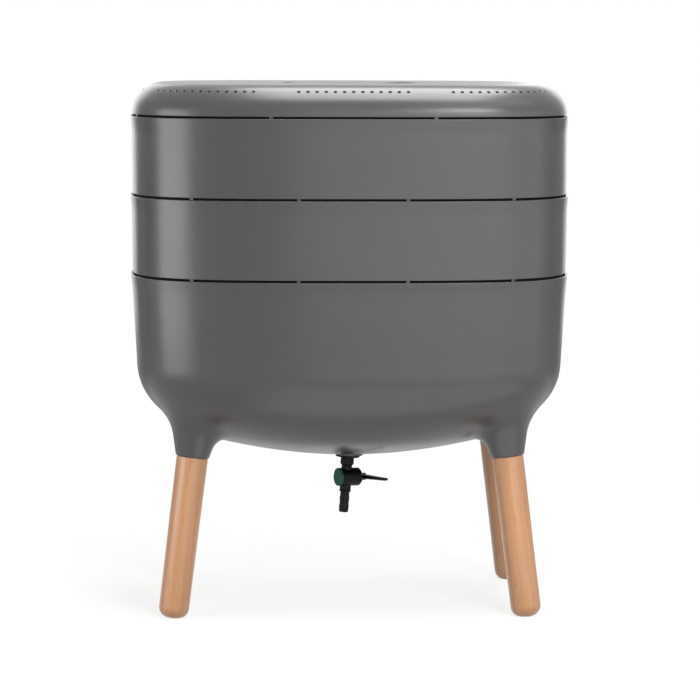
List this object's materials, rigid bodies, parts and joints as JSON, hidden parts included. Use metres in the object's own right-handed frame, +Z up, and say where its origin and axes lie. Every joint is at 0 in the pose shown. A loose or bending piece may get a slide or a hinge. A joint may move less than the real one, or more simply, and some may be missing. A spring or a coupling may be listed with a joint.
{
  "type": "stacking worm composter",
  "caption": "Indoor worm composter: an oval moulded tub on splayed wooden legs with a drain tap, nesting perforated trays and a vented lid with a finger recess.",
  "frame": {"origin": "on the floor under the middle of the tub", "axes": "+Z up, the front faces -Y, +X to the right seen from the front"},
  "size_m": [0.536, 0.366, 0.645],
  "materials": {
    "moulded_plastic": "satin",
    "beech": "satin",
    "tap_black": "satin",
    "tap_green": "satin",
    "rubber": "matte",
    "screw_steel": "brushed"
  },
  "bodies": {
    "base": {"tub": "moulded_plastic", "leg_front_left": "beech", "leg_screw_front_left": "screw_steel", "leg_seal_front_left": "rubber", "leg_front_right": "beech", "leg_screw_front_right": "screw_steel", "leg_seal_front_right": "rubber", "leg_rear_left": "beech", "leg_screw_rear_left": "screw_steel", "leg_seal_rear_left": "rubber", "leg_rear_right": "beech", "leg_screw_rear_right": "screw_steel", "leg_seal_rear_right": "rubber", "tap_body": "tap_black", "tap_gasket_outer": "rubber", "tap_gasket_inner": "rubber", "tap_locknut": "tap_black", "tap_hose_tail": "tap_black", "tap_end_cap": "tap_green"},
    "sieve_insert": {"sieve": "moulded_plastic"},
    "lower_tray_body": {"lower_tray": "moulded_plastic"},
    "upper_tray_body": {"upper_tray": "moulded_plastic"},
    "lid_body": {"lid": "moulded_plastic"},
    "tap_valve": {"tap_plug": "tap_black", "tap_plug_seal_front": "rubber", "tap_plug_seal_rear": "rubber", "tap_lever": "tap_black", "tap_lever_screw": "screw_steel"}
  },
  "joints": [
    {"name": "lower_tray_lift", "type": "slide", "parent": "base", "child": "lower_tray_body", "axis": [0, 0, 1], "range_m": [0, 0.15]},
    {"name": "upper_tray_lift", "type": "slide", "parent": "lower_tray_body", "child": "upper_tray_body", "axis": [0, 0, 1], "range_m": [0, 0.15]},
    {"name": "lid_lift", "type": "slide", "parent": "upper_tray_body", "child": "lid_body", "axis": [0, 0, 1], "range_m": [0, 0.15]},
    {"name": "sieve_lift", "type": "slide", "parent": "base", "child": "sieve_insert", "axis": [0, 0, 1], "range_m": [0, 0.1]},
    {"name": "tap_lever_turn", "type": "hinge", "parent": "base", "child": "tap_valve", "pos_m": [-0.00202, 0, 0.15257], "axis": [0.8857, 0.4602, -0.0619], "range_deg": [0, 90]}
  ]
}
